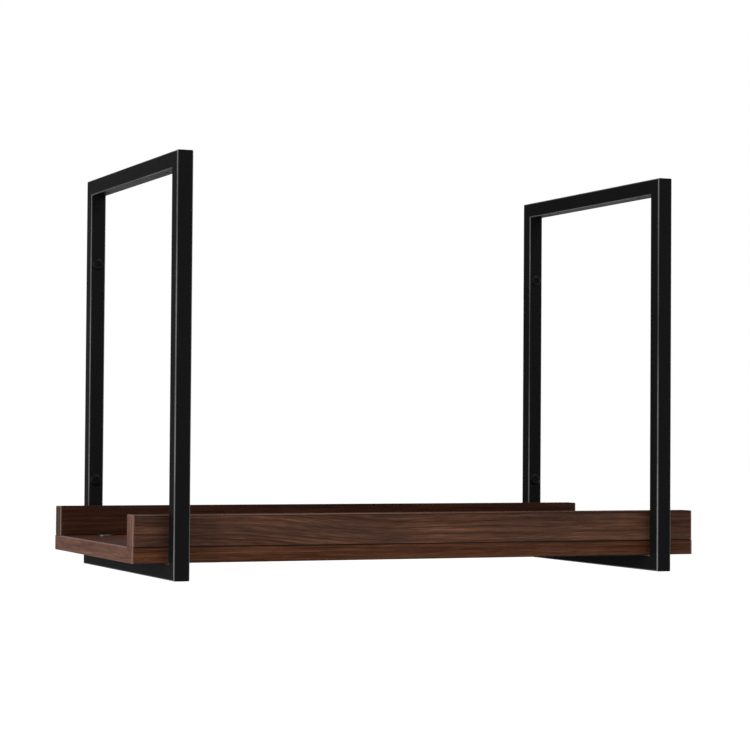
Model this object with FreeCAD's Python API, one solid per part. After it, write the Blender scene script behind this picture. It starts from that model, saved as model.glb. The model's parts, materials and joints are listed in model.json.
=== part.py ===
import FreeCAD, Part
import math
import os

from FreeCAD import Placement, Rotation, Vector

# Cat wall step: a tray of wood-look board, bolted between two welded loops of square tube.
# Lengths are millimetres. X runs along the wall, +Y points into the wall and +Z points up.
# The origin lies on the wall plane, in the middle of the four wall-screw holes.

# Driving sizes of the whole step
tray_length = 600.0
frame_depth = 300.0
frame_height = 400.0
tray_overhang = 35.0

# Square steel tube of the frames
tube_side = 16.0
tube_wall = 1.2
tube_edge_radius = 1.5
tube_bore_radius = 0.5

# Boards of the tray
base_thickness = 15.0
rim_thickness = 18.0
rim_height = 30.0
rim_end_setback = 0.5
tray_post_clearance = 0.5

# Glued edge bands: thin ones on the long edges, thick ones on the ends
long_band = 1.0
end_band = 2.0
edge_ease = 0.8
widest_ease_share = 0.9

# Wall-screw holes in the rear posts: a wide one for the driver, a narrow one in the back wall
wall_hole_inset = 87.5
access_hole_margin = 2.5
wall_screw_hole = 5.5

# Blind rivet nuts in the rails: the bore of the tube leaves them this room
nut_side_gap = 0.3
nut_upset = 2.0
nut_upset_length = 2.4
nut_upset_chamfer = 0.4
nut_wall = 1.4
nut_end_gap = 4.3
nut_flange_lap = 0.5
nut_flange_depth = 0.6
nut_fit_clearance = 0.1

# Flat-headed bolts that hold the tray down on the bottom rails
thread_clearance = 0.1
bolt_head_lap = 5.5
bolt_head_height = 1.2
bolt_head_chamfer = 0.3
bolt_tip_chamfer = 0.8
bolt_end_short = 0.5
bolt_board_clearance = 0.5
bolt_to_rim_gap = 8.0
hex_key_width = 4.0
hex_key_depth = 3.0

# Countersunk screws that pull the rims down, driven from under the base
screw_count = 4
screw_end_inset = 60.0
screw_diameter = 4.0
screw_head_diameter = 8.0
screw_tip_length = 4.0
screw_tip_cover = 9.0
screw_pilot_clearance = 0.1
cross_slot_length = 4.4
cross_slot_width = 0.9
cross_slot_depth = 1.6

# Glued dowels that keep the rims in line, one between each two screws
dowel_diameter = 8.0
dowel_in_rim = 15.0
dowel_base_cover = 5.0
dowel_chamfer = 0.7
dowel_glue_line = 0.1
dowel_end_room = 0.5

# Cutters stand past the face that they start on by this much
overrun = 1.0
tolerance = 1e-6

# Turns in degrees
quarter_turn = 90.0
half_turn = 180.0
full_turn = 360.0

# Heights of the stack, from the bottom of the frames up
frame_top = frame_height / 2
frame_bottom = -frame_top
base_bottom = frame_bottom + tube_side
base_top = base_bottom + base_thickness
rim_top = base_top + rim_height
rim_core_top = rim_top - long_band

# Places along the wall and out from it
tray_end = tray_length / 2
rim_end = tray_end - rim_end_setback
frame_x = tray_end - tray_overhang - tube_side / 2
tray_rear = -tube_side - tray_post_clearance
tray_front = -frame_depth + tube_side + tray_post_clearance
sides = {"left": -1, "right": 1}

# Each rim: the y of its outer face, and which way its inner face lies
rims = {"front": (tray_front, 1), "rear": (tray_rear, -1)}

# The bore of the tube settles the rivet nut, and the nut settles the bolt
nut_upset_radius = tube_side / 2 - tube_wall - nut_side_gap
nut_body_radius = nut_upset_radius - nut_upset
nut_bore_radius = nut_body_radius - nut_wall
nut_flange_radius = nut_body_radius + nut_flange_lap
nut_length = tube_side - tube_wall - nut_end_gap
bolt_radius = nut_bore_radius - thread_clearance
bolt_head_radius = bolt_radius + bolt_head_lap
bolt_length = base_thickness + nut_length - bolt_end_short

# The nut's seat in the rail's wall
nut_hole_radius = nut_body_radius + nut_fit_clearance
nut_sink_radius = nut_flange_radius + nut_fit_clearance

up = Vector(0, 0, 1)
down = Vector(0, 0, -1)
into_wall = Vector(0, 1, 0)
out_of_wall = Vector(0, -1, 0)


# Shared shapes

def block(x_range, y_range, z_range):
    """Box between two places on each axis, given in either order."""
    x_low, x_high = sorted(x_range)
    y_low, y_high = sorted(y_range)
    z_low, z_high = sorted(z_range)
    return Part.makeBox(x_high - x_low, y_high - y_low, z_high - z_low, Vector(x_low, y_low, z_low))


def same(a, b):
    """Whether two places are one."""
    return abs(a - b) < tolerance


def rounded(solid, radius, chosen):
    """Round each edge of a solid whose middle passes the test."""
    edges = [edge for edge in solid.Edges if chosen(edge.CenterOfMass)]
    return solid.makeFillet(radius, edges)


def ease_for(thickness):
    """Easing radius, kept under the thickness of the band that carries it."""
    return min(edge_ease, widest_ease_share * thickness)


def hole(radius, mouth, direction, depth):
    """Cutter for a round hole from its mouth, starting a little outside the face."""
    return Part.makeCylinder(radius, depth + overrun, mouth - direction * overrun, direction)


def countersink(mouth_radius, floor_radius, mouth, direction, depth):
    """Cutter for a conical sink at the mouth of a hole."""
    cone = Part.makeCone(mouth_radius, floor_radius, depth, mouth, direction)
    lead_in = Part.makeCylinder(mouth_radius, overrun, mouth - direction * overrun, direction)
    return cone.fuse(lead_in)


def turned(outline):
    """Solid of revolution about Z from (radius, height) points."""
    points = [Vector(radius, 0, height) for radius, height in outline]
    face = Part.Face(Part.makePolygon(points + points[:1]))
    return face.revolve(Vector(0, 0, 0), up, full_turn)


def placed(solid, place, turn=Rotation()):
    """Copy of a solid, turned about its own origin and then moved."""
    copy = solid.copy()
    copy.Placement = Placement(place, turn)
    return copy


def evenly_spaced(count, end):
    """Places from -end to +end at equal steps."""
    step = 2 * end / (count - 1)
    return [-end + step * index for index in range(count)]


# Frames

def rounded_bar(side, radius, length):
    """Square bar along +Z, centred on the Z axis, with its four long edges rounded."""
    half = side / 2
    bar = block((-half, half), (-half, half), (0, length))
    return rounded(bar, radius, lambda middle: same(middle.z, length / 2))


def mitred_tube(length):
    """Square tube along +Z with its outer face on y = 0, cut at 45 degrees at both ends."""
    tube = rounded_bar(tube_side, tube_edge_radius, length)
    tube = tube.cut(rounded_bar(tube_side - 2 * tube_wall, tube_bore_radius, length))
    tube.translate(Vector(0, tube_side / 2, 0))
    outside = -overrun
    inside = tube_side + overrun
    cut_start = -tube_side / 2 - overrun
    outline = [Vector(cut_start, outside, outside),
               Vector(cut_start, outside, length - outside),
               Vector(cut_start, inside, length - inside),
               Vector(cut_start, inside, inside)]
    face = Part.Face(Part.makePolygon(outline + outline[:1]))
    return tube.common(face.extrude(Vector(tube_side + 2 * overrun, 0, 0)))


def rail_nut_seat(mouth, direction):
    """Cutter for a rivet nut's hole and flange sink in one wall of a rail."""
    bore = hole(nut_hole_radius, mouth, direction, tube_wall + overrun)
    sink = countersink(nut_sink_radius, nut_hole_radius, mouth, direction, nut_flange_depth)
    return bore.fuse(sink)


def front_post(x):
    """Front upright of a frame."""
    return placed(mitred_tube(frame_height), Vector(x, -frame_depth, frame_bottom))


def rear_post(x):
    """Rear upright, flat against the wall, with its two wall-screw holes."""
    post = placed(mitred_tube(frame_height), Vector(x, 0, frame_bottom), Rotation(up, half_turn))
    access_radius = tube_side / 2 - access_hole_margin
    for z in (frame_bottom + wall_hole_inset, frame_top - wall_hole_inset):
        driver_side = Vector(x, -tube_side, z)
        wall_side = Vector(x, 0, z)
        post = post.cut(hole(access_radius, driver_side, into_wall, tube_wall + overrun))
        post = post.cut(hole(wall_screw_hole / 2, wall_side, out_of_wall, tube_wall + overrun))
    return post


def bottom_rail(x):
    """Lower rail, which carries the tray, with rivet-nut seats in its top wall."""
    turn = Rotation(Vector(1, 0, 0), quarter_turn)
    rail = placed(mitred_tube(frame_depth), Vector(x, 0, frame_bottom), turn)
    for y in bolt_rows():
        rail = rail.cut(rail_nut_seat(Vector(x, y, frame_bottom + tube_side), down))
    return rail


def top_rail(x):
    """Upper rail, drilled like the lower one, so that the frame can be turned over."""
    turn = Rotation(Vector(1, 0, 0), -quarter_turn)
    rail = placed(mitred_tube(frame_depth), Vector(x, -frame_depth, frame_top), turn)
    for y in bolt_rows():
        rail = rail.cut(rail_nut_seat(Vector(x, y, frame_top - tube_side), up))
    return rail


def frame_nodes():
    """The four mitred tubes of each frame."""
    makers = {"front_post": front_post, "rear_post": rear_post,
              "bottom_rail": bottom_rail, "top_rail": top_rail}
    return {f"{side}_{name}": maker(sign * frame_x)
            for side, sign in sides.items() for name, maker in makers.items()}


# Bolts and rivet nuts

def bolt_rows():
    """The y of the bolts: clear of the inner face of each rim."""
    step = rim_thickness + bolt_to_rim_gap + bolt_head_radius
    return [outer + inward * step for outer, inward in rims.values()]


def bolt_places(z):
    """Centre of each bolt at a height."""
    return [Vector(sign * frame_x, y, z) for sign in sides.values() for y in bolt_rows()]


def tray_bolt():
    """Bolt with a wide flat head that stands on z = 0, and a hexagon socket."""
    bolt = turned([(0, bolt_head_height),
                   (bolt_head_radius - bolt_head_chamfer, bolt_head_height),
                   (bolt_head_radius, bolt_head_height - bolt_head_chamfer),
                   (bolt_head_radius, 0),
                   (bolt_radius, 0),
                   (bolt_radius, bolt_tip_chamfer - bolt_length),
                   (bolt_radius - bolt_tip_chamfer, -bolt_length),
                   (0, -bolt_length)])
    corner = hex_key_width / 2 / math.cos(math.pi / 6)
    floor = bolt_head_height - hex_key_depth
    points = [Vector(corner * math.cos(math.pi / 3 * k), corner * math.sin(math.pi / 3 * k), floor)
              for k in range(6)]
    socket = Part.Face(Part.makePolygon(points + points[:1]))
    return bolt.cut(socket.extrude(Vector(0, 0, hex_key_depth + overrun)))


def rivet_nut():
    """Set rivet nut under z = 0: flush flange, bulge behind the wall, sleeve below it."""
    upset_end = tube_wall + nut_upset_length
    upset_flat = nut_upset_radius - nut_upset_chamfer
    return turned([(nut_bore_radius, 0),
                   (nut_flange_radius, 0),
                   (nut_body_radius, -nut_flange_depth),
                   (nut_body_radius, -tube_wall),
                   (upset_flat, -tube_wall),
                   (nut_upset_radius, -tube_wall - nut_upset_chamfer),
                   (nut_upset_radius, nut_upset_chamfer - upset_end),
                   (upset_flat, -upset_end),
                   (nut_body_radius, -upset_end),
                   (nut_body_radius, -nut_length),
                   (nut_bore_radius, -nut_length)])


def fixing_nodes():
    """Tray bolts, the nuts that they screw into, and the spare nuts of the top rails."""
    turned_over = Rotation(Vector(1, 0, 0), half_turn)
    bolts = [placed(tray_bolt(), place) for place in bolt_places(base_top)]
    lower = [placed(rivet_nut(), place) for place in bolt_places(base_bottom)]
    upper = [placed(rivet_nut(), place, turned_over) for place in bolt_places(frame_top - tube_side)]
    return {"tray_bolts": Part.makeCompound(bolts),
            "bottom_rail_nuts": Part.makeCompound(lower),
            "top_rail_nuts": Part.makeCompound(upper)}


# Screws and dowels between the base and the rims

def screw_columns():
    """The x of the rim screws."""
    return evenly_spaced(screw_count, tray_end - screw_end_inset)


def dowel_columns():
    """The x of the dowels, half way between the screws."""
    screws = screw_columns()
    return [(near + far) / 2 for near, far in zip(screws, screws[1:])]


def rim_middles():
    """The y of each rim's middle."""
    return [outer + inward * rim_thickness / 2 for outer, inward in rims.values()]


def under_rims(columns, z):
    """Places at a height in both rims."""
    return [Vector(x, y, z) for y in rim_middles() for x in columns]


screw_length = base_thickness + rim_height - long_band - screw_tip_cover
screw_radius = screw_diameter / 2
screw_head_radius = screw_head_diameter / 2
screw_head_height = screw_head_radius - screw_radius
dowel_radius = dowel_diameter / 2
dowel_in_base = base_thickness - dowel_base_cover


def rim_screw():
    """Countersunk screw that points up from z = 0, with a cross slot."""
    screw = turned([(0, 0),
                    (screw_head_radius, 0),
                    (screw_radius, screw_head_height),
                    (screw_radius, screw_length - screw_tip_length),
                    (0, screw_length)])
    half_long = cross_slot_length / 2
    half_wide = cross_slot_width / 2
    depth = (-overrun, cross_slot_depth)
    screw = screw.cut(block((-half_long, half_long), (-half_wide, half_wide), depth))
    return screw.cut(block((-half_wide, half_wide), (-half_long, half_long), depth))


def rim_dowel():
    """Chamfered dowel across z = 0, shorter than its two holes."""
    top = dowel_in_rim - dowel_end_room
    bottom = dowel_end_room - dowel_in_base
    narrow = dowel_radius - dowel_chamfer
    return turned([(0, bottom),
                   (narrow, bottom),
                   (dowel_radius, bottom + dowel_chamfer),
                   (dowel_radius, top - dowel_chamfer),
                   (narrow, top),
                   (0, top)])


def screw_cutters():
    """Pilot hole and countersink of each rim screw, through the base and into the rim."""
    pilot = screw_radius + screw_pilot_clearance
    sink = screw_head_radius + screw_pilot_clearance
    cutters = []
    for mouth in under_rims(screw_columns(), base_bottom):
        cutters.append(hole(pilot, mouth, up, screw_length))
        cutters.append(countersink(sink, pilot, mouth, up, sink - pilot))
    return cutters


def dowel_cutters():
    """Dowel holes, down into the base and up into the rims."""
    radius = dowel_radius + dowel_glue_line
    return [Part.makeCylinder(radius, dowel_in_base + dowel_in_rim, place - up * dowel_in_base)
            for place in under_rims(dowel_columns(), base_top)]


def joinery_nodes():
    """Screws and dowels in their places."""
    screws = [placed(rim_screw(), place) for place in under_rims(screw_columns(), base_bottom)]
    dowels = [placed(rim_dowel(), place) for place in under_rims(dowel_columns(), base_top)]
    return {"rim_screws": Part.makeCompound(screws), "rim_dowels": Part.makeCompound(dowels)}


# Tray

def drilled(solid, cutters):
    """A solid with each cutter taken from it."""
    for cutter in cutters:
        solid = solid.cut(cutter)
    return solid


def base_board():
    """Bottom board of the tray, between its edge bands."""
    end = tray_end - end_band
    board = block((-end, end), (tray_front + long_band, tray_rear - long_band), (base_bottom, base_top))
    bolt_hole = bolt_radius + bolt_board_clearance
    bolt_holes = [hole(bolt_hole, place, down, base_thickness + overrun) for place in bolt_places(base_top)]
    return drilled(board, bolt_holes + screw_cutters() + dowel_cutters())


def base_long_band(outer, inward):
    """Thin band on the front or rear edge of the base, between the end bands."""
    end = tray_end - end_band
    band = block((-end, end), (outer, outer + inward * long_band), (base_bottom, base_top))
    outer_edges = lambda middle: same(middle.y, outer) and same(middle.x, 0)
    return rounded(band, ease_for(long_band), outer_edges)


def end_cap(outer_x, inner_x, y_range, z_range):
    """Thick band over the end of a board, eased all round except where it is glued."""
    band = block((outer_x, inner_x), y_range, z_range)
    return rounded(band, ease_for(end_band), lambda middle: not same(middle.x, inner_x))


def rim_board(outer, inward):
    """Rim on edge, under its top band and between its end bands, with eased bottom edges."""
    end = rim_end - end_band
    board = block((-end, end), (outer, outer + inward * rim_thickness), (base_top, rim_core_top))
    bottom_edges = lambda middle: same(middle.z, base_top) and same(middle.x, 0)
    board = rounded(board, edge_ease, bottom_edges)
    return drilled(board, screw_cutters() + dowel_cutters())


def rim_top_band(outer, inward):
    """Thin band along the top of a rim."""
    end = rim_end - end_band
    band = block((-end, end), (outer, outer + inward * rim_thickness), (rim_core_top, rim_top))
    top_edges = lambda middle: same(middle.z, rim_top) and same(middle.x, 0)
    return rounded(band, ease_for(long_band), top_edges)


def tray_nodes():
    """Base, rims and all their bands."""
    nodes = {"base_board": base_board()}
    for name, (outer, inward) in rims.items():
        nodes[f"base_{name}_band"] = base_long_band(outer, inward)
        nodes[f"{name}_rim"] = rim_board(outer, inward)
        nodes[f"{name}_rim_top_band"] = rim_top_band(outer, inward)
    for side, sign in sides.items():
        tray_depth = (tray_front, tray_rear)
        glue_line = sign * (tray_end - end_band)
        nodes[f"base_{side}_band"] = end_cap(sign * tray_end, glue_line, tray_depth, (base_bottom, base_top))
        for name, (outer, inward) in rims.items():
            depth = (outer, outer + inward * rim_thickness)
            glue_line = sign * (rim_end - end_band)
            nodes[f"{name}_rim_{side}_band"] = end_cap(sign * rim_end, glue_line, depth, (base_top, rim_top))
    return nodes


os.makedirs("parts", exist_ok=True)
for group in (frame_nodes(), tray_nodes(), joinery_nodes(), fixing_nodes()):
    for name, shape in group.items():
        shape.exportStep(f"parts/{name}.step")
        print(f"{name}: {len(shape.Solids)} solid(s), {shape.Volume:.0f} mm3, valid {shape.isValid()}")
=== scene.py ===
"""Looks of the wall step: finishes, lamps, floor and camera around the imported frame.

Lengths are metres in the frame's own axes: X along the wall, +Y into the wall, +Z up.
The scales of noise are cycles a metre.
"""

import json
import math

import bmesh
import bpy
from mathutils import Matrix, Vector


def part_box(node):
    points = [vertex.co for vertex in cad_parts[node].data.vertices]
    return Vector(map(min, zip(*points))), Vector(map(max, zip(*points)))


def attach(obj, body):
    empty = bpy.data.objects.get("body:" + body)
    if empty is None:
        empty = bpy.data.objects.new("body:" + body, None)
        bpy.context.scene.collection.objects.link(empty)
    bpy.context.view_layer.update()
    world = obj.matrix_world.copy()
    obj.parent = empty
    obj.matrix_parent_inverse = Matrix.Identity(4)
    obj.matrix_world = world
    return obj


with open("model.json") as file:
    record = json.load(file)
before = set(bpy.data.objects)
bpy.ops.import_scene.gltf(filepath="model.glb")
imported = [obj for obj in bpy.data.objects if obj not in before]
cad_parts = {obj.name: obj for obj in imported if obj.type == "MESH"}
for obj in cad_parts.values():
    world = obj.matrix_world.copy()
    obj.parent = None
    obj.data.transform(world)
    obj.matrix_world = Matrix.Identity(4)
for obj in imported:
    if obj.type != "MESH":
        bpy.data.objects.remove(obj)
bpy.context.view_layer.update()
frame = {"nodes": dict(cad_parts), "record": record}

mm_per_m = 1000
white = (1.0, 1.0, 1.0)
zero = (0.0, 0.0, 0.0)

# Noise: its middle value, and the range that holds most of its values
noise_middle = 0.5
usual_range = (0.3, 0.7)


class Graph:
    """A material's node tree, built node by node."""

    def __init__(self, tree):
        self.tree = tree
        tree.nodes.clear()

    def add(self, kind, settings=None, **inputs):
        """New node. Inputs are named with underscores, and take a number, a colour or a socket."""
        node = self.tree.nodes.new(kind)
        for name, value in (settings or {}).items():
            setattr(node, name, value)
        for name, value in inputs.items():
            self.feed(self.socket(node, name), value)
        return node

    def socket(self, node, name):
        """Input socket by position, as in0, or by name."""
        if name.startswith("in"):
            return node.inputs[int(name[2:])]
        return node.inputs[name.replace("_", " ")]

    def feed(self, socket, value):
        """Link a socket, or set its value."""
        if isinstance(value, bpy.types.NodeSocket):
            self.tree.links.new(value, socket)
        else:
            socket.default_value = value

    def math(self, operation, first, second=0.0):
        """Result of a sum on numbers."""
        node = self.add("ShaderNodeMath", {"operation": operation}, in0=first, in1=second)
        return node.outputs["Value"]

    def vector(self, operation, first, second=zero):
        """Result of a sum on vectors, which is a number for a length."""
        node = self.add("ShaderNodeVectorMath", {"operation": operation}, in0=first, in1=second)
        return node.outputs["Value" if operation == "LENGTH" else "Vector"]

    def scaled(self, vector, factor):
        """Vector or colour times a number."""
        node = self.add("ShaderNodeVectorMath", {"operation": "SCALE"}, in0=vector, Scale=factor)
        return node.outputs["Vector"]

    def split(self, vector):
        """X, Y and Z of a vector."""
        return self.add("ShaderNodeSeparateXYZ", Vector=vector).outputs

    def place(self):
        """Place on the object, in metres."""
        return self.add("ShaderNodeTexCoord").outputs["Object"]

    def noise(self, vector, scale=1.0, detail=2.0, roughness=0.5, output="Fac"):
        """Noise at a place. A vector that is scaled already keeps the scale of 1."""
        node = self.add("ShaderNodeTexNoise", Vector=vector, Scale=scale, Detail=detail,
                        Roughness=roughness)
        return node.outputs[output]

    def ramp(self, factor, stops):
        """Colour ramp from (position, colour) stops."""
        node = self.add("ShaderNodeValToRGB", Fac=factor)
        elements = node.color_ramp.elements
        while len(elements) < len(stops):
            elements.new(0.5)
        for element, (position, colour) in zip(elements, stops):
            element.position = position
            element.color = (*colour, 1.0)
        return node.outputs["Color"]

    def shades(self, factor, reach, dark, light):
        """Colour ramp from a dark colour to a light one over a range of the factor."""
        return self.ramp(factor, list(zip(reach, (dark, light))))

    def spread(self, value, from_low, from_high, to_low, to_high, settings=None):
        """Map one range to another, clamped."""
        node = self.add("ShaderNodeMapRange", settings, Value=value, From_Min=from_low,
                        From_Max=from_high, To_Min=to_low, To_Max=to_high)
        return node.outputs["Result"]

    def blend(self, factor, first, second):
        """Mix two colours."""
        node = self.add("ShaderNodeMix", {"data_type": "RGBA"})
        colour_inputs = [socket for socket in node.inputs if socket.type == "RGBA"]
        self.feed(node.inputs[0], factor)
        for socket, colour in zip(colour_inputs, (first, second)):
            self.feed(socket, colour)
        return next(socket for socket in node.outputs if socket.type == "RGBA")

    def bump(self, height, distance, strength):
        """Normal bumped by a height."""
        node = self.add("ShaderNodeBump", Height=height, Distance=distance, Strength=strength)
        return node.outputs["Normal"]


def material(name):
    """New material with an empty node tree, as a graph."""
    made = bpy.data.materials.new(name)
    made.use_nodes = True
    return made, Graph(made.node_tree)


def finish(graph, shader, kind="ShaderNodeOutputMaterial"):
    """Output node at the end of a graph."""
    output = graph.add(kind)
    graph.feed(output.inputs["Surface"], shader)


def surface(graph, settings, **inputs):
    """Principled surface at the end of a graph. Constants go straight on its sockets."""
    shader = graph.add("ShaderNodeBsdfPrincipled")
    for name, value in {**settings, **inputs}.items():
        graph.feed(shader.inputs[name.replace("_", " ")], value)
    finish(graph, shader.outputs["BSDF"])


# Powder coat
coat_dark = (0.0066, 0.0065, 0.0066)
coat_light = (0.0096, 0.0094, 0.0095)
coat_roughness = (0.28, 0.34)
coat_specular = 0.0015
mottle_scale = 60.0
peel_scale = 700.0
peel_range = (0.3, 0.75)
peel_depth = 0.00004
peel_strength = 0.35

# Pale rounded edges of the powder coat, partly wear where the coat is worn down and partly a painted
# highlight: their colour, and how much is left of them in the least scuffed places and where the broad
# noise puts the least of them
edge_wear_and_highlight_colour = (0.18, 0.179, 0.181)
scuff_scale = 25.0
scuff_range = (0.35, 0.65)
least_scuffed = 0.75
broad_wear_and_highlight_scale = 5.0
broad_wear_and_highlight_range = (0.38, 0.62)
broad_wear_and_highlight_shift = (2.96, 4.24, 2.32)
least_broad_wear_and_highlight = 0.35

# The largest part of the normal along an axis, where the pale edge (wear and painted highlight) begins
# and where it is full
edge_flat = 0.99
edge_round = 0.86


def powder_coat():
    """Black powder coat, nearly matte: fine orange peel, and paler on rounded edges, partly wear and
    partly a painted highlight.
    """
    made, g = material("black_powder_coat")
    place = g.place()
    peel = g.noise(place, peel_scale, detail=3.0, roughness=0.55)
    mottle = g.noise(place, mottle_scale)
    colour = g.shades(peel, peel_range, coat_dark, coat_light)

    # Rounded edges go pale: worn coat and a painted highlight, broken up by a fine scuff noise and a
    # broad noise
    normal = g.vector("ABSOLUTE", g.add("ShaderNodeTexCoord").outputs["Normal"])
    x, y, z = g.split(normal)
    flatness = g.math("MAXIMUM", x, g.math("MAXIMUM", y, z))
    scuffs = g.spread(g.noise(place, scuff_scale, detail=3.0), *scuff_range, least_scuffed, 1.0)
    elsewhere = g.vector("ADD", place, broad_wear_and_highlight_shift)
    broad_wear_and_highlight = g.spread(g.noise(elsewhere, broad_wear_and_highlight_scale, detail=1.0), *broad_wear_and_highlight_range, least_broad_wear_and_highlight, 1.0)
    worn_and_highlighted = g.math("MULTIPLY", scuffs, broad_wear_and_highlight)
    edge_wear_and_highlight = g.math("MULTIPLY", g.spread(flatness, edge_flat, edge_round, 0.0, 1.0), worn_and_highlighted)
    colour = g.blend(edge_wear_and_highlight, colour, (*edge_wear_and_highlight_colour, 1.0))

    surface(g, {"Specular IOR Level": coat_specular}, Base_Color=colour,
            Roughness=g.spread(mottle, *usual_range, *coat_roughness),
            Normal=g.bump(peel, peel_depth, peel_strength))
    return made


# Plastic of the hole caps
cap_dark = (0.0028, 0.0028, 0.0029)
cap_light = (0.0044, 0.0044, 0.0045)
cap_roughness = (0.30, 0.38)
cap_specular = 0.05
skin_scale = 900.0
skin_depth = 0.00002
skin_strength = 0.3


def cap_plastic():
    """Black moulded plastic, darker than the coat round it and with a little more gloss."""
    made, g = material("cap_plastic")
    skin = g.noise(g.place(), skin_scale)
    surface(g, {"Specular IOR Level": cap_specular},
            Base_Color=g.shades(skin, usual_range, cap_dark, cap_light),
            Roughness=g.spread(skin, *usual_range, *cap_roughness),
            Normal=g.bump(skin, skin_depth, skin_strength))
    return made


# Walnut print: slow waves in the grain, and how far they bend it across
wave_scale = (2.4, 14.0, 14.0)
wave_reach = (0.0, 0.011, 0.011)

# Streaks of the print, as scales along the grain and away from the pith, and their shares
ring_scales = (6.0, 400.0)
fine_ring_scales = (20.0, 900.0)
broad_ring_scales = (2.0, 85.0)
ring_share = 0.38
fine_ring_share = 0.38
broad_ring_share = 0.24
figure_contrast = 2.0

# Fibres and pores: their scales, how they shade the print, and their relief
fibre_scale = (55.0, 1000.0, 1000.0)
fibre_shades = (0.70, 1.30)
fibre_relief = 0.4
fibre_roughness = 0.10
pore_scale = (150.0, 2000.0, 2000.0)
pore_range = (0.28, 0.36)
pore_shade = 0.62
pore_relief = 0.6
relief_depth = 0.00005
relief_strength = 0.5

# Smoky patches of the print
cloud_scale = (9.0, 60.0, 60.0)
cloud_range = (0.50, 0.70)
smoke = (0.026, 0.0165, 0.0125)

# Dark joint lines: full within the core, and faded out at the half width
seam_half_width = 0.0009
seam_core = seam_half_width / 3
seam_shade = 0.15

rim_stops = [(0.22, (0.0242, 0.0087, 0.0045)),
             (0.38, (0.0493, 0.0198, 0.0112)),
             (0.50, (0.0763, 0.0330, 0.0201)),
             (0.62, (0.1070, 0.0479, 0.0286)),
             (0.80, (0.1544, 0.0752, 0.0443))]
base_stops = [(0.22, (0.0233, 0.0062, 0.0023)),
              (0.38, (0.0417, 0.0135, 0.0057)),
              (0.50, (0.0630, 0.0227, 0.0103)),
              (0.62, (0.0873, 0.0337, 0.0159)),
              (0.80, (0.1261, 0.0524, 0.0263))]
# Rear rim: the rim's print made much darker, as painted shade inside the tray
shaded_rim_stops = [(0.22, (0.0090, 0.0020, 0.0007)),
              (0.38, (0.0170, 0.0046, 0.0020)),
              (0.50, (0.0260, 0.0079, 0.0034)),
              (0.62, (0.0370, 0.0123, 0.0055)),
              (0.80, (0.0540, 0.0198, 0.0092))]
board_stops = [(0.22, (0.0134, 0.0036, 0.0016)),
               (0.38, (0.0246, 0.0076, 0.0036)),
               (0.50, (0.0358, 0.0121, 0.0060)),
               (0.62, (0.0493, 0.0177, 0.0090)),
               (0.80, (0.0694, 0.0269, 0.0140))]
band_stops = [(0.22, (0.0492, 0.0180, 0.0106)),
              (0.38, (0.0786, 0.0328, 0.0204)),
              (0.50, (0.1044, 0.0462, 0.0314)),
              (0.62, (0.1332, 0.0632, 0.0453)),
              (0.80, (0.1776, 0.0904, 0.0686))]

# The front rim's colour is darkened by this factor past the posts, as painted shade, and its top band's
# print is darker all over
end_shade = 0.75
rim_top_tone = 0.75

# Gloss and roughness of the board and of the top bands
board_gloss = 0.03
board_roughest = 0.75
top_gloss = 0.02
top_roughest = 0.90

# End bands: shifts through the noise along the grain and across it, piths, tones and gloss
band_side_shifts = {"left": 0.0, "right": 2.3}
band_cross_shift = (0.3, 0.2)
base_band_shift = 0.6
base_band_pith = (0.0, 0.02, 0.03)
base_band_tone = 1.1
rim_band_shifts = {"front": 1.3, "rear": 2.0}
rim_band_pith = (0.0, 0.0, 0.03)
rim_band_tones = {"front": 0.95, "rear": 0.42}
band_patch = 0.1
band_gloss = 0.03

# Pale plastic of the bands where it shows through, which also stands in for a painted highlight on eased
# edges, and a stretch of Y that takes in the whole object
pale_core_and_highlight = (0.180, 0.110, 0.090)
core_and_highlight_width = 0.0009
# Painted highlight on the front rim top band's front edge: its width, the shares of the band's length
# over which it fades, and its strength on the left
highlight_width = 0.0010
highlight_shares = (0.35, 0.80)
highlight_most = 0.5
everywhere = (-1.0, 1.0)


def toned(stops, tone):
    """Stops of a ramp, all made darker or lighter by one factor."""
    return [(position, tuple(tone * channel for channel in colour)) for position, colour in stops]


def near(g, coordinate, edge, width):
    """1 within a width of an edge."""
    return g.math("LESS_THAN", g.math("ABSOLUTE", g.math("SUBTRACT", coordinate, edge)), width)


def core_and_highlight_line(g, band, bare):
    """Mask of an end band's eased outer edges, pale where its core shows and as a painted highlight:
    both upright ones, and the upper one where it is bare.
    """
    low, high = band
    bare_from, bare_to = bare
    x, y, z = g.split(g.place())
    outer = low.x if abs(low.x) > abs(high.x) else high.x
    between = g.math("MULTIPLY", g.math("GREATER_THAN", y, bare_from), g.math("LESS_THAN", y, bare_to))
    upper = g.math("MULTIPLY", near(g, z, high.z, core_and_highlight_width), between)
    upright = g.math("MAXIMUM", near(g, y, low.y, core_and_highlight_width), near(g, y, high.y, core_and_highlight_width))
    return g.math("MULTIPLY", g.math("MAXIMUM", upper, upright), near(g, x, outer, core_and_highlight_width))


def painted_highlight_line(g, band):
    """Mask of a painted highlight along a top band's front edge, strongest on the left and less and less
    so to the right.
    """
    low, high = band
    x, y, _ = g.split(g.place())
    fade_from, fade_to = (low.x + share * (high.x - low.x) for share in highlight_shares)
    fading = g.spread(x, fade_from, fade_to, highlight_most, 0.0)
    return g.math("MULTIPLY", near(g, y, low.y, highlight_width), fading)


def grain_place(g, axis, shift):
    """Place with the grain along X, whatever the board's own grain axis is."""
    place = g.place()
    if axis != "X":
        own = g.split(place)
        order = {"Y": (1, 0, 2), "Z": (2, 1, 0)}[axis]
        turned = g.add("ShaderNodeCombineXYZ", X=own[order[0]], Y=own[order[1]], Z=own[order[2]])
        place = turned.outputs["Vector"]
    return g.vector("ADD", place, shift)


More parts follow.
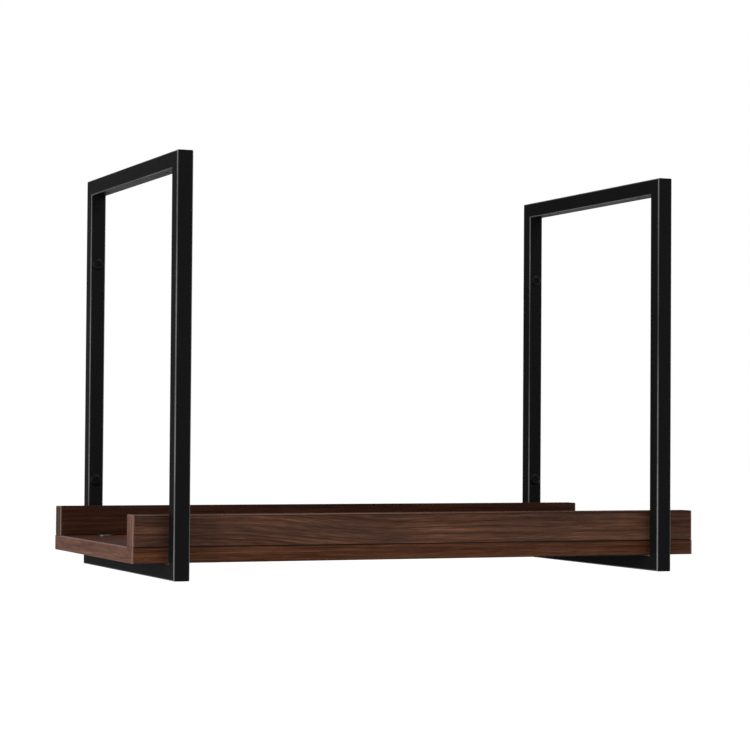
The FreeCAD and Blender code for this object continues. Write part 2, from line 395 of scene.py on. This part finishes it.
def bent_grain(g, place, along, sweep):
    """Place bent by slow waves, and by a sweep that lets the streaks slope down along X."""
    waves = g.noise(g.vector("MULTIPLY", place, wave_scale), output="Color")
    waver = g.vector("MULTIPLY", g.vector("SUBTRACT", waves, (noise_middle,) * 3), wave_reach)
    bent = g.vector("ADD", place, waver)
    if sweep is not None:
        start, stop, drop = sweep
        slope = g.spread(along, start, stop, 0.0, drop, {"interpolation_type": "SMOOTHSTEP"})
        bent = g.vector("ADD", bent, g.add("ShaderNodeCombineXYZ", Z=slope).outputs["Vector"])
    return bent


def ring_figure(g, bent, along, pith):
    """Growth rings as streaks of three widths."""
    from_pith = g.vector("MULTIPLY", g.vector("SUBTRACT", bent, pith), (0.0, 1.0, 1.0))
    radius = g.vector("LENGTH", from_pith)

    def streaks(scales, share, detail, roughness):
        """A share of noise drawn out along the grain and wrapped round the pith."""
        along_scale, across_scale = scales
        drawn = g.add("ShaderNodeCombineXYZ", X=g.math("MULTIPLY", along, along_scale),
                      Y=g.math("MULTIPLY", radius, across_scale)).outputs["Vector"]
        return g.math("MULTIPLY", g.noise(drawn, detail=detail, roughness=roughness), share)

    rings = streaks(ring_scales, ring_share, 3.0, 0.6)
    fine_rings = streaks(fine_ring_scales, fine_ring_share, 3.0, 0.65)
    broad_rings = streaks(broad_ring_scales, broad_ring_share, 2.0, 0.5)
    figure = g.math("ADD", g.math("ADD", rings, fine_rings), broad_rings)
    stretched = g.math("MULTIPLY", g.math("SUBTRACT", figure, noise_middle), figure_contrast)
    return g.math("ADD", stretched, noise_middle)


def walnut(name, stops, shift, pith, axis="X", sweep=None, seams=(), patch=0.4, pale=None,
           shaded_ends=None, gloss=0.06, roughest=0.60):
    """Walnut print: growth rings cut along the grain, wavering streaks, fine fibres and pores.

    The shift moves the board through the noise, and the pith is the middle of its rings. The
    sweep is (from, to, drop), and seams are the heights of the board's joints, where the print
    ends in a dark line. Patch is the share of smoke in the smoky patches. Pale is a function of
    the graph that gives the mask of the edges made pale: where the band's pale plastic shows
    through its print, and where a highlight is painted. Shaded ends (from, to, tone) are
    distances from the middle of the part between which the colour is darkened, as painted shade.
    """
    made, g = material(name)
    place = grain_place(g, axis, shift)
    along, _, up = g.split(place)
    bent = bent_grain(g, place, along, sweep)
    fibres = g.noise(g.vector("MULTIPLY", bent, fibre_scale))
    pores = g.noise(g.vector("MULTIPLY", bent, pore_scale), detail=1.0)

    colour = g.ramp(ring_figure(g, bent, along, pith), stops)
    clouds = g.noise(g.vector("MULTIPLY", bent, cloud_scale), detail=3.0)
    smoky = g.math("MULTIPLY", g.spread(clouds, *cloud_range, 0.0, 1.0), patch)
    colour = g.blend(smoky, colour, (*smoke, 1.0))

    shade = g.math("MULTIPLY", g.spread(fibres, *usual_range, *fibre_shades),
                   g.spread(pores, *pore_range, pore_shade, 1.0))
    for height in seams:
        off_seam = g.math("ABSOLUTE", g.math("SUBTRACT", up, height + shift[2]))
        line = g.spread(off_seam, seam_core, seam_half_width, seam_shade, 1.0)
        shade = g.math("MULTIPLY", shade, line)
    # Painted shade: the colour darkens past the posts.
    if shaded_ends is not None:
        start, stop, tone = shaded_ends
        off_middle = g.math("ABSOLUTE", g.split(g.place())["X"])
        shade = g.math("MULTIPLY", shade, g.spread(off_middle, start, stop, 1.0, tone))
    colour = g.scaled(colour, shade)
    if pale is not None:
        colour = g.blend(pale(g), colour, (*pale_core_and_highlight, 1.0))

    relief = g.math("ADD", g.math("MULTIPLY", fibres, fibre_relief),
                    g.spread(pores, *pore_range, 0.0, pore_relief))
    surface(g, {"Specular IOR Level": gloss}, Base_Color=colour,
            Roughness=g.spread(fibres, *usual_range, roughest - fibre_roughness, roughest),
            Normal=g.bump(relief, relief_depth, relief_strength))
    return made


# Plated steel
steel_dark = (0.062, 0.056, 0.051)
steel_light = (0.082, 0.075, 0.069)
steel_roughness = (0.30, 0.36)
steel_scale = (1400.0, 1400.0, 300.0)
steel_depth = 0.00001
steel_strength = 0.2
stain_scale = 220.0


def plated_steel():
    """Dull plated steel with a fine turned texture."""
    made, g = material("plated_steel")
    place = g.place()
    grain = g.noise(g.vector("MULTIPLY", place, steel_scale))
    stain = g.noise(place, stain_scale, detail=3.0)
    surface(g, {"Metallic": 1.0},
            Base_Color=g.shades(stain, usual_range, steel_dark, steel_light),
            Roughness=g.spread(grain, *usual_range, *steel_roughness),
            Normal=g.bump(grain, steel_depth, steel_strength))
    return made


# Beech of the dowels
beech_stops = [(0.3, (0.42, 0.27, 0.15)),
               (0.6, (0.60, 0.42, 0.26)),
               (0.8, (0.68, 0.50, 0.33))]
beech_roughness = 0.6
beech_specular = 0.3
fleck_scale = (900.0, 900.0, 120.0)
fleck_depth = 0.00005
fleck_strength = 0.4


def beech():
    """Turned beech of the dowels: pale, with short flecks along Z."""
    made, g = material("beech")
    flecks = g.noise(g.vector("MULTIPLY", g.place(), fleck_scale), detail=3.0)
    surface(g, {"Specular IOR Level": beech_specular}, Base_Color=g.ramp(flecks, beech_stops),
            Roughness=beech_roughness, Normal=g.bump(flecks, fleck_depth, fleck_strength))
    return made


def board_finishes():
    """Prints of the boards, their front and rear bands and the top bands of the rims, by node."""
    base_low, base_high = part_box("base_board")
    joint = base_high.z
    rim_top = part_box("front_rim")[1].z
    post_low, post_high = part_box("right_front_post")
    return {
        "base_board": walnut("walnut_base", board_stops, shift=(0.37, 0.05, 0.11),
                             pith=(0.0, -0.02, 0.06), gloss=board_gloss, roughest=board_roughest),
        "base_front_band": walnut("walnut_base_front", base_stops, shift=(1.9, 0.4, 0.15),
                                  pith=(0.0, 0.13, -0.10), seams=(joint, base_low.z), patch=0.2),
        "base_rear_band": walnut("walnut_base_rear", base_stops, shift=(2.7, 0.7, 0.35),
                                 pith=(0.0, 0.13, -0.10), seams=(joint, base_low.z), patch=0.2),
        "front_rim": walnut("walnut_front_rim", rim_stops, shift=(6.51, 0.259, 0.169),
                            pith=(0.0, 0.055, -0.10), sweep=(6.31, 6.48, 0.012),
                            seams=(joint, rim_top), shaded_ends=(post_low.x, post_high.x, end_shade)),
        # Its front edge has a painted highlight.
        "front_rim_top_band": walnut("walnut_front_top", toned(rim_stops, rim_top_tone),
                                     shift=(3.3, 0.1, 0.2), pith=(0.0, 0.0, 0.02),
                                     pale=lambda g: painted_highlight_line(g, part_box("front_rim_top_band")),
                                     gloss=top_gloss, roughest=top_roughest),
        # The rear rim and its top band are darker, as painted shade inside the tray.
        "rear_rim": walnut("walnut_rear_rim", shaded_rim_stops, shift=(4.1, 0.06, 0.18),
                           pith=(0.0, 0.055, -0.09), seams=(joint,), patch=0.2),
        "rear_rim_top_band": walnut("walnut_rear_top", shaded_rim_stops, shift=(5.2, 0.0, 0.2),
                                    pith=(0.0, 0.0, 0.02), gloss=top_gloss, roughest=top_roughest),
    }


def end_band(name, print_name, along_shift, pith, tone, axis, bare):
    """Print of one end band, pale along its eased edges where its core shows and a highlight is painted,
    the upper one along a bare stretch of Y.
    """
    return walnut(print_name, toned(band_stops, tone), shift=(along_shift, *band_cross_shift),
                  pith=pith, axis=axis, patch=band_patch,
                  pale=lambda g: core_and_highlight_line(g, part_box(name), bare), gloss=band_gloss)


def end_band_finishes():
    """Prints of the end bands of the base and of both rims, by node."""
    between_rims = (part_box("front_rim")[1].y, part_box("rear_rim")[0].y)
    finishes = {}
    for side, side_shift in band_side_shifts.items():
        name = f"base_{side}_band"
        finishes[name] = end_band(name, f"band_base_{side}", base_band_shift + side_shift,
                                  base_band_pith, base_band_tone, "Y", between_rims)
        for rim, rim_shift in rim_band_shifts.items():
            name = f"{rim}_rim_{side}_band"
            finishes[name] = end_band(name, f"band_{rim}_{side}", rim_shift + side_shift,
                                      rim_band_pith, rim_band_tones[rim], "Z", everywhere)
    return finishes


def dress():
    """Give each node of the frame its finish. Tubes and top rail nuts have the powder coat."""
    coat = powder_coat()
    steel = plated_steel()
    finishes = {
        "rim_dowels": beech(),
        "rim_screws": steel,
        "tray_bolts": steel,
        "bottom_rail_nuts": steel,
        **board_finishes(),
        **end_band_finishes(),
    }
    for name, node in frame["nodes"].items():
        node.data.materials.clear()
        node.data.materials.append(finishes.get(name, coat))


# Hole caps: the head, its flat middle, the plug in the hole, and the driver's cross
cap_radius = 0.0062
cap_height = 0.0018
cap_flat_radius = 0.0034
plug_radius = 0.0054
plug_depth = 0.0030
cross_half_length = 0.0027
cross_half_width = 0.0007
cross_depth = 0.0010
cap_steps = 48
shoulder_steps = 6
cap_turns = {"lower": math.radians(12.0), "upper": math.radians(34.0)}


def cap_outline():
    """Points (radius, height) from the edge of the flat middle over the shoulder to the plug's end."""
    outline = []
    for step in range(shoulder_steps + 1):
        angle = math.pi / 2 * step / shoulder_steps
        outline.append((cap_flat_radius + (cap_radius - cap_flat_radius) * math.sin(angle),
                        -cap_height * math.cos(angle)))
    return outline + [(plug_radius, 0.0), (plug_radius, plug_depth)]


def cross_outline():
    """Corners of the driver's cross, in order round it."""
    corners = []
    for quarter in range(4):
        turn = Matrix.Rotation(math.pi / 2 * quarter, 2)
        for corner in ((cross_half_length, -cross_half_width), (cross_half_length, cross_half_width),
                       (cross_half_width, cross_half_width)):
            corners.append(turn @ Vector(corner))
    return corners


def cap_mesh():
    """Push-in cap on its own axis: the plug along +Z into the hole, the domed head towards -Z."""
    build = bmesh.new()
    turns = [2 * math.pi * step / cap_steps for step in range(cap_steps)]
    rings = []
    for radius, height in cap_outline():
        rings.append([build.verts.new((radius * math.cos(turn), radius * math.sin(turn), height))
                      for turn in turns])
    cross = cross_outline()
    mouth = [build.verts.new((*corner, -cap_height)) for corner in cross]
    bottom = [build.verts.new((*corner, -cap_height + cross_depth)) for corner in cross]
    for first, second in [*zip(rings, rings[1:]), (mouth, bottom)]:
        for here, there in zip(range(len(first)), [*range(1, len(first)), 0]):
            build.faces.new((first[here], first[there], second[there], second[here]))
    build.faces.new(rings[-1])
    build.faces.new(bottom)
    rim = [edge for edge in build.edges if all(vert in rings[0] or vert in mouth for vert in edge.verts)]
    bmesh.ops.triangle_fill(build, use_beauty=True, use_dissolve=False, edges=rim)
    bmesh.ops.recalc_face_normals(build, faces=build.faces)
    mesh = bpy.data.meshes.new("hole_cap")
    build.to_mesh(mesh)
    build.free()
    return mesh


def hole_caps():
    """Black push-in caps with a driver's cross in the wall-screw holes of the rear posts."""
    plastic = cap_plastic()
    mount = next(each for each in frame["record"]["mounts"] if each["name"] == "wall_screws")
    across = mount["dims"]["spacing_x_mm"] / mm_per_m / 2
    up = mount["dims"]["spacing_y_mm"] / mm_per_m / 2
    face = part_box("left_rear_post")[0].y
    into_wall = Matrix.Rotation(-math.pi / 2, 4, "X")
    for side, x in (("left", -across), ("right", across)):
        for level, z in (("lower", -up), ("upper", up)):
            cap = bpy.data.objects.new(f"hole_cap_{side}_{level}", cap_mesh())
            bpy.context.scene.collection.objects.link(cap)
            cap.data.materials.append(plastic)
            cap.matrix_world = (Matrix.Translation((x, face, z)) @ into_wall
                                @ Matrix.Rotation(cap_turns[level], 4, "Z"))
            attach(cap, "root")


# Room and floor
room_level = 0.20
background_level = 1.0
floor_height = -0.55
floor_size = 40.0
floor_colour = (0.86, 0.86, 0.86)
speckle_scale = 3.0
speckle_tone = 0.985

# Glow of the floor on rays that show the background: up to the near radius, and from the far one on
glow_near = 0.52
glow_far = 0.86
glow_near_radius = 0.45
glow_far_radius = 1.0


def seen_rays(g):
    """1 on rays that show the background: the camera's, mirrored ones and refracted ones."""
    path = g.add("ShaderNodeLightPath").outputs
    seen = g.math("MAXIMUM", path["Is Camera Ray"], path["Is Glossy Ray"])
    return g.math("MAXIMUM", seen, path["Is Transmission Ray"])


def room():
    """White room that gives a plain soft light and shows as white."""
    world = bpy.data.worlds.new("studio")
    world.use_nodes = True
    bpy.context.scene.world = world
    g = Graph(world.node_tree)
    level = g.spread(seen_rays(g), 0.0, 1.0, room_level, background_level)
    light = g.add("ShaderNodeBackground", Color=(*white, 1.0), Strength=level)
    finish(g, light.outputs["Background"], "ShaderNodeOutputWorld")


def pale_floor():
    """Pale matte floor that keeps the shadow and shows nearly white. From below it is clear."""
    made, g = material("pale_floor")
    place = g.place()
    speckle = g.noise(place, speckle_scale, detail=4.0)
    darker = tuple(speckle_tone * channel for channel in floor_colour)
    matte = g.add("ShaderNodeBsdfDiffuse", Color=g.shades(speckle, usual_range, darker, floor_colour))
    away = g.vector("LENGTH", g.vector("MULTIPLY", place, (1.0, 1.0, 0.0)))
    glow = g.spread(away, glow_near_radius, glow_far_radius, glow_near, glow_far)
    lit = g.add("ShaderNodeEmission", Color=(*white, 1.0),
                Strength=g.math("MULTIPLY", seen_rays(g), glow))
    both = g.add("ShaderNodeAddShader", in0=matte.outputs["BSDF"], in1=lit.outputs["Emission"])
    clear = g.add("ShaderNodeBsdfTransparent")
    from_below = g.add("ShaderNodeNewGeometry").outputs["Backfacing"]
    mix = g.add("ShaderNodeMixShader", in0=from_below, in1=both.outputs["Shader"],
                in2=clear.outputs["BSDF"])
    finish(g, mix.outputs["Shader"])
    return made


def lay_floor():
    """One large sheet under the object."""
    half = floor_size / 2
    corners = [(-half, -half, floor_height), (half, -half, floor_height),
               (half, half, floor_height), (-half, half, floor_height)]
    mesh = bpy.data.meshes.new("floor")
    mesh.from_pydata(corners, [], [(0, 1, 2, 3)])
    mesh.materials.append(pale_floor())
    floor = bpy.data.objects.new("floor", mesh)
    bpy.context.scene.collection.objects.link(floor)


# Lamps: each soft box's place, width, height and power in watts
lamp_target = Vector((0.0, -0.15, 0.0))
soft_boxes = {
    "left_softbox": ((-3.6, -1.75, 0.25), 0.6, 2.4, 118.0),
    "front": ((1.3, -2.3, 2.2), 2.0, 1.2, 60.0),
    "overhead": ((0.1, -0.3, 2.3), 2.0, 1.6, 20.0),
}


def lamps():
    """Tall narrow soft box far to the left, a broad one high in front on the right, one overhead."""
    for name, (place, width, height, power) in soft_boxes.items():
        light = bpy.data.lights.new(name, "AREA")
        light.shape = "RECTANGLE"
        light.size = width
        light.size_y = height
        light.energy = power
        holder = bpy.data.objects.new(name, light)
        holder.location = place
        aim = lamp_target - Vector(place)
        holder.rotation_euler = aim.to_track_quat("-Z", "Y").to_euler()
        bpy.context.scene.collection.objects.link(holder)


# Camera, fitted to the straight edges of the photograph
photo_side_px = 750
focal_length_px = 2226.1
sensor_width_mm = 36.0
camera_place = Vector((-0.9116, -2.2607, -0.0617))
camera_yaw = math.radians(23.380)
camera_pitch = math.radians(1.494)
camera_roll = math.radians(0.401)
near_clip = 0.05
far_clip = 60.0


def camera():
    """Camera at the photograph's place, with its lens."""
    data = bpy.data.cameras.new("camera")
    data.sensor_width = sensor_width_mm
    data.lens = focal_length_px / photo_side_px * sensor_width_mm
    data.clip_start = near_clip
    data.clip_end = far_clip
    holder = bpy.data.objects.new("camera", data)
    turn = (Matrix.Rotation(-camera_yaw, 4, "Z") @ Matrix.Rotation(math.pi / 2 + camera_pitch, 4, "X")
            @ Matrix.Rotation(camera_roll, 4, "Z"))
    holder.matrix_world = Matrix.Translation(camera_place) @ turn
    bpy.context.scene.collection.objects.link(holder)
    bpy.context.scene.camera = holder


dress()
hole_caps()
room()
lay_floor()
lamps()
camera()
bpy.context.scene.view_settings.view_transform = "Standard"
